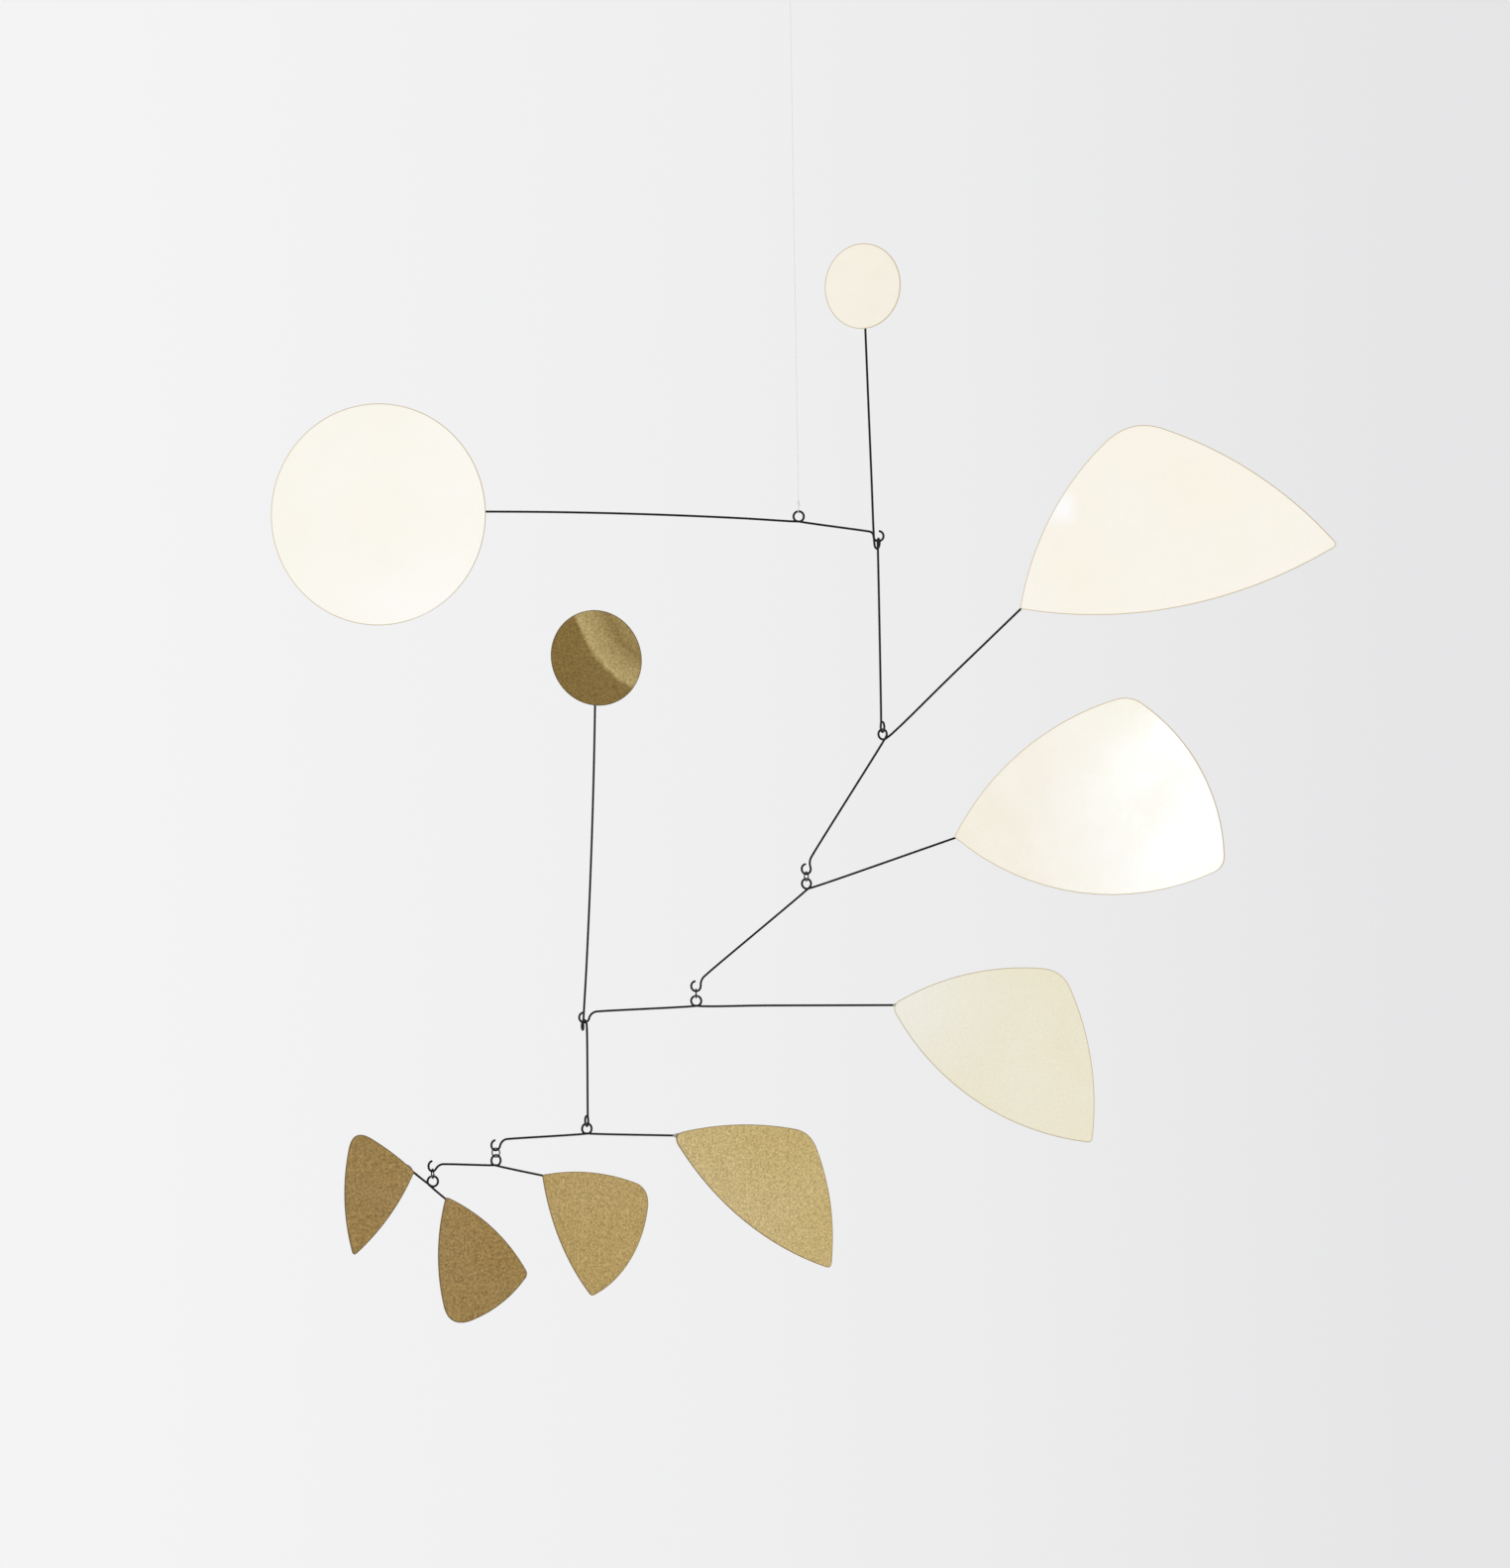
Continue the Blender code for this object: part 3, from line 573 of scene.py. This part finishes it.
# The cut edges come in the plates' tones too: painted light and painted shade on one brass.
lit_edge = sheared_brass("lit_brass_edge", (0.34, 0.27, 0.13), (0.56, 0.47, 0.28))
shaded_edge = sheared_brass("shaded_brass_edge", (0.12, 0.08, 0.03), (0.24, 0.17, 0.07))


def standing(start, along, face):
    """The place of a plate whose wire comes to its back at start, runs along and lies behind its face."""
    ahead = Vector(along).normalized()
    front = Vector(face).normalized()
    front = (front - front.dot(ahead) * ahead).normalized()
    across = front.cross(ahead)
    return Matrix.Translation(start) @ Matrix((ahead, across, front)).transposed().to_4x4()


def from_rim(point, outline):
    """How far a point on the sheet's plane is from the sheet's outline."""
    nearest = 1
    for start, end in zip(outline, outline[1:] + outline[:1]):
        side = end - start
        along = max(0, min(1, (point - start).dot(side) / side.length_squared))
        nearest = min(nearest, (point - start - side * along).length)
    return nearest


def press(piece, faces, edge, lap, dish, roll, ripple, seed):
    """Finishes a flat blank that lies on its own plane: rim, a mark for the darker line round its outline,
    grain map and the sheet's soft waves.

    dish bows it along its length and roll across it, both at its far end; the soldered lap stays flat."""
    piece.data.materials.clear()
    piece.data.materials.append(faces)
    piece.data.materials.append(edge)
    bpy.ops.object.select_all(action="DESELECT")
    piece.select_set(True)
    bpy.context.view_layer.objects.active = piece
    bpy.ops.object.mode_set(mode="EDIT")
    bpy.ops.mesh.select_all(action="SELECT")
    bpy.ops.mesh.dissolve_limited(angle_limit=math.radians(0.4))
    bpy.ops.object.mode_set(mode="OBJECT")
    for side in piece.data.polygons:
        side.material_index = 0 if abs(side.normal.z) > 0.9 else 1
    front = max(piece.data.polygons, key=lambda side: side.area)
    outline = [piece.data.vertices[corner].co.xy.copy() for corner in front.vertices]
    bpy.ops.object.mode_set(mode="EDIT")
    bpy.ops.mesh.select_all(action="DESELECT")
    bpy.ops.mesh.edges_select_sharp(sharpness=math.radians(70))
    bpy.ops.object.mode_set(mode="OBJECT")
    bpy.ops.object.mode_set(mode="EDIT")
    bpy.ops.mesh.bevel(offset=RIM_BEVEL, segments=2, affect="EDGES")
    bpy.ops.mesh.select_all(action="DESELECT")
    bpy.ops.object.mode_set(mode="OBJECT")
    for side in sorted(piece.data.polygons, key=lambda side: -side.area)[:2]:
        side.select = True
    bpy.ops.object.mode_set(mode="EDIT")
    bpy.ops.mesh.select_mode(type="FACE")
    bpy.ops.mesh.inset(thickness=RIM_WIDTH, use_boundary=True, use_even_offset=True)
    length = max(corner.x for corner in outline)
    low = min(corner.y for corner in outline)
    high = max(corner.y for corner in outline)
    for start, end, way in ((0, length, Vector((1, 0, 0))), (low, high, Vector((0, 1, 0)))):
        cuts = round((end - start) / PRESS_GRID)
        for n in range(1, cuts):
            bpy.ops.mesh.select_all(action="SELECT")
            bpy.ops.mesh.bisect(plane_co=way * (start + (end - start) * n / cuts), plane_no=way)
    bpy.ops.mesh.select_mode(type="VERT")
    bpy.ops.object.mode_set(mode="OBJECT")

    sheet_map = piece.data.uv_layers.get(SHEET_MAP) or piece.data.uv_layers.new(name=SHEET_MAP)
    for corner in piece.data.loops:
        sheet_map.data[corner.index].uv = piece.data.vertices[corner.vertex_index].co.xy
    rim = piece.data.attributes.new("rim", "FLOAT", "POINT")
    middle = (low + high) / 2
    for spot in piece.data.vertices:
        x, y = spot.co.xy
        rim.data[spot.index].value = max(0, 1 - from_rim(spot.co.xy, outline) / RIM_WIDTH)
        far = max(0, x - lap) / (length - lap)
        wide = (y - middle) / (high - low) * 2
        wave = math.sin(70 * x + 41 * y + seed) + 0.6 * math.sin(-33 * x + 96 * y + 2.1 * seed)
        spot.co.z += far * far * (dish + roll * wide * wide + ripple * wave)
    bpy.ops.object.shade_smooth_by_angle(angle=math.radians(35))


DISC_SIDES = 160


def cut_disc(name, diameter, sheet, set_off=0):
    """A round blank on its own plane, the wire's end of it at the origin."""
    bpy.ops.object.select_all(action="DESELECT")
    bpy.ops.mesh.primitive_circle_add(
        vertices=DISC_SIDES,
        radius=diameter / 2,
        fill_type="NGON",
        location=(diameter / 2, set_off, -sheet / 2),
    )
    disc = bpy.context.object
    disc.name = name
    bpy.ops.object.transform_apply(location=True, rotation=True, scale=True)
    bpy.ops.object.mode_set(mode="EDIT")
    bpy.ops.mesh.select_all(action="SELECT")
    bpy.ops.mesh.extrude_region_move(TRANSFORM_OT_translate={"value": (0, 0, sheet)})
    bpy.ops.mesh.select_all(action="SELECT")
    bpy.ops.mesh.normals_make_consistent(inside=False)
    bpy.ops.object.mode_set(mode="OBJECT")
    return disc


DISC_LAP = 0.016
LARGE_DISC_DIAMETER = 0.1516
LARGE_DISC_SHEET = 0.00047
LARGE_DISC_SET = 0.0020
TOP_DISC_DIAMETER = 0.0572
DARK_DISC_DIAMETER = 0.0659
SMALL_DISC_SHEET = 0.0006
LARGE_DISC_PLACE = standing(
    start=(-0.21253, 0.04134, -0.37273), along=(-0.9813, 0.1907, 0.0262), face=(-0.1912, -0.9814, -0.0174)
)
TOP_DISC_PLACE = standing(
    start=(0.04594, -0.01374, -0.25721), along=(-0.0249, 0.0101, 0.9996), face=(-0.4848, -0.8746, -0.0033)
)
DARK_DISC_PLACE = standing(
    start=(-0.13992, 0.04325, -0.50599), along=(0.0263, 0.1572, 0.9872), face=(0.3713, -0.9184, 0.1364)
)

large_disc = cut_disc("large_brass_disc", LARGE_DISC_DIAMETER, LARGE_DISC_SHEET, LARGE_DISC_SET)
press(large_disc, large_brass, lit_edge, DISC_LAP, dish=0.0004, roll=0.0003, ripple=0.00015, seed=1.2)
place_in_mesh(large_disc, LARGE_DISC_PLACE)
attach(large_disc, "main_arm")
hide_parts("large_disc")

top_disc = cut_disc("top_brass_disc", TOP_DISC_DIAMETER, SMALL_DISC_SHEET)
press(top_disc, top_brass, lit_edge, DISC_LAP, dish=0.0003, roll=0.0002, ripple=0.00008, seed=2.9)
place_in_mesh(top_disc, TOP_DISC_PLACE)
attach(top_disc, "top_upright")
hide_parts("top_disc")

dark_disc = cut_disc("shaded_brass_disc", DARK_DISC_DIAMETER, SMALL_DISC_SHEET)
press(dark_disc, shaded_disc_brass, shaded_edge, DISC_LAP, dish=0.0008, roll=-0.0005, ripple=0.00025, seed=4.4)
place_in_mesh(dark_disc, DARK_DISC_PLACE)
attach(dark_disc, "long_upright")
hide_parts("dark_disc")


# The leaves: curved, rounded triangles cut from sheet brass, each soldered by one corner to its wire.
# Each has its own outline and thickness, and they are bowed slightly, as thin cut sheet is.
LEAF_LAP = 0.014
SMALL_LEAF_LAP = 0.008
FIRST_LEAF_SHEET = 0.00055
SECOND_LEAF_SHEET = 0.00058
THIRD_LEAF_SHEET = 0.00056
FOURTH_LEAF_SHEET = 0.00062
FIFTH_LEAF_SHEET = 0.00071
LOWEST_RIGHT_SHEET = 0.00108
LOWEST_LEFT_SHEET = 0.00100


def leaf(node, name, body, faces, edge, place, lap, dish, roll, ripple, seed):
    """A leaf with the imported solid's outline, finished and set back in its place."""
    piece = own_copy(node, name)
    place_in_mesh(piece, place.inverted())
    press(piece, faces, edge, lap, dish, roll, ripple, seed)
    place_in_mesh(piece, place)
    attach(piece, body)
    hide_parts(node)
    return piece


# As with the discs, each leaf's colour is the same brass as lit or shaded where it hangs: the first three
# pale, painted light, the fourth and fifth golden and the lowest dark, painted shade.
HALF_LIT_OUTLINE = (0.30, 0.21, 0.09)

# The first leaf's whitish spot near its upper edge is a painted glint.
first_brass = satin_brass(
    "first_leaf_brass", (0.925, 0.884, 0.785), LIT_OUTLINE, 0.07, 0.008, 0.20,
    (0.96, 0.95, 0.93), (0.066, 0.030),
    (0.0, 1.0), (0.005, 0.8), (0.015, 0.0),
)
second_brass = satin_brass("second_leaf_brass", (0.872, 0.822, 0.705), LIT_OUTLINE, 0.09, 0.010, 0.11)
# The third leaf is painted paler towards its narrow end, a painted reflection.
third_brass = satin_brass(
    "third_leaf_brass", (0.982, 0.930, 0.735), LIT_OUTLINE, 0.12, 0.030, 0.22,
    (1.0, 0.975, 0.860), (0, 0.01),
    (0.0, 1.0), (0.035, 0.75), (0.080, 0.10), (0.110, 0.0),
)
fourth_brass = satin_brass("fourth_leaf_brass", (0.670, 0.524, 0.250), HALF_LIT_OUTLINE, 0.30, 0.34, 0.24)
fifth_brass = satin_brass("fifth_leaf_brass", (0.545, 0.396, 0.168), HALF_LIT_OUTLINE, 0.25, 0.38, 0.24)
lowest_brass = satin_brass("lowest_leaf_brass", (0.390, 0.262, 0.102), SHADED_OUTLINE, 0.25, 0.40, 0.24)
half_lit_edge = sheared_brass("half_lit_brass_edge", (0.20, 0.14, 0.05), (0.38, 0.28, 0.11))

FIRST_LEAF_PLACE = standing((0.14493, -0.05792, -0.44805), (0.6826, -0.3478, 0.6428), (-0.4540, -0.8910, 0))
leaf("first_leaf", "first_brass_leaf", "first_leaf_arm", first_brass, lit_edge,
     FIRST_LEAF_PLACE, LEAF_LAP, dish=-0.0007, roll=0.0006, ripple=0.00018, seed=0.4)

SECOND_LEAF_PLACE = standing(
    (0.10061, -0.01822, -0.59947), (0.9060, -0.2944, 0.3040), (-0.3090, -0.9511, 0)
)
leaf("second_leaf", "second_brass_leaf", "second_leaf_arm", second_brass, lit_edge,
     SECOND_LEAF_PLACE, LEAF_LAP, dish=-0.0030, roll=0.0005, ripple=0.00018, seed=1.7)

THIRD_LEAF_PLACE = standing((0.05813, 0.05139, -0.71376), (0.9944, 0.1045, -0.0175), (0.1045, -0.9945, 0))
leaf("third_leaf", "third_brass_leaf", "third_leaf_arm", third_brass, lit_edge,
     THIRD_LEAF_PLACE, LEAF_LAP, dish=0.0010, roll=0.0006, ripple=0.00015, seed=3.1)

FOURTH_LEAF_PLACE = standing((-0.09339, 0.06669, -0.80131), (0.8269, 0.5578, -0.0715), (0.5592, -0.8290, 0))
leaf("fourth_leaf", "fourth_brass_leaf", "fourth_leaf_arm", fourth_brass, half_lit_edge,
     FOURTH_LEAF_PLACE, LEAF_LAP, dish=0.0012, roll=0.0006, ripple=0.00018, seed=5.2)

FIFTH_LEAF_PLACE = standing((-0.18029, 0.01312, -0.82315), (0.7241, 0.6520, -0.2250), (0.6691, -0.7431, 0))
leaf("fifth_leaf", "fifth_brass_leaf", "fifth_leaf_arm", fifth_brass, half_lit_edge,
     FIFTH_LEAF_PLACE, LEAF_LAP, dish=0.0008, roll=0.0004, ripple=0.00012, seed=0.9)

LOWEST_RIGHT_PLACE = standing(
    (-0.24252, -0.04942, -0.83249), (0.7156, 0.2325, -0.6587), (0.3090, -0.9511, 0)
)
leaf("lowest_right_leaf", "lowest_right_brass_leaf", "lowest_arm", lowest_brass, shaded_edge,
     LOWEST_RIGHT_PLACE, SMALL_LEAF_LAP, dish=0.0007, roll=0.0004, ripple=0.00010, seed=2.3)

LOWEST_LEFT_PLACE = standing(
    (-0.26217, -0.05843, -0.81441), (-0.7381, -0.2398, 0.6307), (0.3090, -0.9511, 0)
)
leaf("lowest_left_leaf", "lowest_left_brass_leaf", "lowest_arm", lowest_brass, shaded_edge,
     LOWEST_LEFT_PLACE, SMALL_LEAF_LAP, dish=0.0006, roll=0.0003, ripple=0.00008, seed=3.8)


# The solder: a bead of tin solder behind each plate, run along the wire's lap while it was hot. It
# fills the corner between wire and sheet and leaves the wire's back bare.
SOLDER_HALF_WIDTH = 0.0019
SOLDER_HEIGHT = 0.0009
SOLDER_MARGIN = 0.0004
SOLDER_START = 0.0006
SOLDER_SINK = 0.00002


def solder_grey():
    """Tin solder, grey, frosted where it froze and brown with old flux at its foot."""
    finish, nodes, links, shader = start_finish("solder")
    place = place_on_piece(nodes, links)
    frost = cloud(nodes, links, place, 700, 4, 0.6)
    flux = cloud(nodes, links, place, 190, 3)
    metal = colours(nodes, links, frost, (0.3, (0.33, 0.33, 0.34)), (0.7, (0.58, 0.58, 0.58)))
    stained = between(nodes, links, flux, 0, 0.6, 0.48, 0.66)
    metal = blend_colours(nodes, links, stained, metal, (0.20, 0.14, 0.08))
    links.new(metal, shader.inputs["Base Color"])
    links.new(between(nodes, links, frost, 0.28, 0.50), shader.inputs["Roughness"])
    links.new(relief(nodes, links, frost, 0.00005), shader.inputs["Normal"])
    shader.inputs["Metallic"].default_value = 0.9
    return finish


solder = solder_grey()


def solder_bead(name, body, place, lap, sheet, seed):
    """A bead along the wire's lap, behind the sheet."""
    bpy.ops.object.select_all(action="DESELECT")
    bpy.ops.mesh.primitive_uv_sphere_add(segments=28, ring_count=14, radius=1)
    bead = bpy.context.object
    bead.name = name
    bpy.ops.object.mode_set(mode="EDIT")
    bpy.ops.mesh.select_all(action="SELECT")
    bpy.ops.mesh.bisect(plane_co=(0, 0, 0), plane_no=(0, 0, 1), use_fill=True, clear_outer=True)
    bpy.ops.mesh.select_all(action="SELECT")
    bpy.ops.transform.resize(
        value=(lap / 2 - SOLDER_MARGIN, SOLDER_HALF_WIDTH, SOLDER_HEIGHT),
        center_override=(0, 0, 0),
    )
    bpy.ops.transform.vertex_random(offset=0.00012, uniform=0.2, normal=0.2, seed=seed)
    bpy.ops.mesh.vertices_smooth(factor=0.5, repeat=3)
    bpy.ops.object.mode_set(mode="OBJECT")
    bpy.ops.object.shade_smooth_by_angle(angle=math.radians(60))
    bead.data.materials.append(solder)
    seat = Matrix.Translation((lap / 2 + SOLDER_START, 0, -sheet / 2 + SOLDER_SINK))
    place_in_mesh(bead, place @ seat)
    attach(bead, body)


SOLDERED_PLATES = [
    ("large_disc_solder", "main_arm", LARGE_DISC_PLACE, DISC_LAP, LARGE_DISC_SHEET),
    ("top_disc_solder", "top_upright", TOP_DISC_PLACE, DISC_LAP, SMALL_DISC_SHEET),
    ("first_leaf_solder", "first_leaf_arm", FIRST_LEAF_PLACE, LEAF_LAP, FIRST_LEAF_SHEET),
    ("second_leaf_solder", "second_leaf_arm", SECOND_LEAF_PLACE, LEAF_LAP, SECOND_LEAF_SHEET),
    ("third_leaf_solder", "third_leaf_arm", THIRD_LEAF_PLACE, LEAF_LAP, THIRD_LEAF_SHEET),
    ("dark_disc_solder", "long_upright", DARK_DISC_PLACE, DISC_LAP, SMALL_DISC_SHEET),
    ("fourth_leaf_solder", "fourth_leaf_arm", FOURTH_LEAF_PLACE, LEAF_LAP, FOURTH_LEAF_SHEET),
    ("fifth_leaf_solder", "fifth_leaf_arm", FIFTH_LEAF_PLACE, LEAF_LAP, FIFTH_LEAF_SHEET),
    ("lowest_right_solder", "lowest_arm", LOWEST_RIGHT_PLACE, SMALL_LEAF_LAP, LOWEST_RIGHT_SHEET),
    ("lowest_left_solder", "lowest_arm", LOWEST_LEFT_PLACE, SMALL_LEAF_LAP, LOWEST_LEFT_SHEET),
]
for seed, (name, body, place, lap, sheet) in enumerate(SOLDERED_PLATES, start=1):
    solder_bead(name, body, place, lap, sheet, seed)


# The studio: a plain pale floor well below the mobile and an even pale surround. Straight behind
# the mobile, where the camera sees it, the surround is painted a little lighter at the left, a painted
# light falloff. One broad soft light stands at the viewer's left. A window's cool light, with a dimmer
# strip beside it, is mirrored by the second leaf alone.
FLOOR_LEVEL = -1.6
SURROUND = (0.855, 0.855, 0.871)
FLOOR_RADIUS = 2.9
LIGHT_DISTANCE = 3.5

bpy.ops.object.select_all(action="DESELECT")
bpy.ops.mesh.primitive_circle_add(
    vertices=96, radius=FLOOR_RADIUS, fill_type="NGON", location=(0, 0, FLOOR_LEVEL)
)
floor = bpy.context.object
floor.name = "floor"
floor_finish, nodes, links, shader = start_finish("pale_floor")
grey = cloud(nodes, links, place_on_piece(nodes, links), 3, 4)
paint = colours(nodes, links, grey, (0.3, (0.78, 0.78, 0.79)), (0.7, (0.82, 0.82, 0.83)))
links.new(paint, shader.inputs["Base Color"])
shader.inputs["Roughness"].default_value = 0.8
floor.data.materials.append(floor_finish)

surround = bpy.data.worlds.new("surround")
surround.use_nodes = True
nodes = surround.node_tree.nodes
links = surround.node_tree.links
# The backdrop that the camera alone sees is painted lighter at the left and darker at the right, a painted
# light falloff. All other rays see the even surround.
sideways = nodes.new("ShaderNodeSeparateXYZ")
links.new(nodes.new("ShaderNodeTexCoord").outputs["Generated"], sideways.inputs["Vector"])
across = between(nodes, links, sideways.outputs["X"], 0, 1, -0.14, 0.14)
painted_falloff_backdrop = colours(
    nodes, links, across,
    (0, (0.905, 0.905, 0.915)),
    (0.5, (0.862, 0.862, 0.871)),
    (1, (0.785, 0.785, 0.795)),
)
seen = nodes.new("ShaderNodeLightPath")
backdrop = blend_colours(nodes, links, seen.outputs["Is Camera Ray"], SURROUND, painted_falloff_backdrop)
links.new(backdrop, nodes["Background"].inputs["Color"])
bpy.context.scene.world = surround
bpy.context.scene.view_settings.view_transform = "Standard"


def soft_light(name, turn, height, width, tall, power, colour):
    """A flat light that faces the mobile from that many degrees left of the viewer."""
    turn = math.radians(turn)
    bpy.ops.object.light_add(
        type="AREA",
        location=(-LIGHT_DISTANCE * math.sin(turn), -LIGHT_DISTANCE * math.cos(turn), height),
        rotation=(math.radians(90), 0, -turn),
    )
    light = bpy.context.object
    light.name = name
    light.data.shape = "RECTANGLE"
    light.data.size = width
    light.data.size_y = tall
    light.data.energy = power
    light.data.color = colour
    light.visible_camera = False


soft_light("softbox", 40, -0.55, 3.4, 2.8, 5.5, (1, 1, 1))
soft_light("window", 21.5, -1.05, 0.43, 1.2, 1.3, (0.44, 0.62, 1.0))
soft_light("window_edge", 26.65, -1.05, 0.20, 1.2, 0.16, (0.29, 0.55, 1.0))
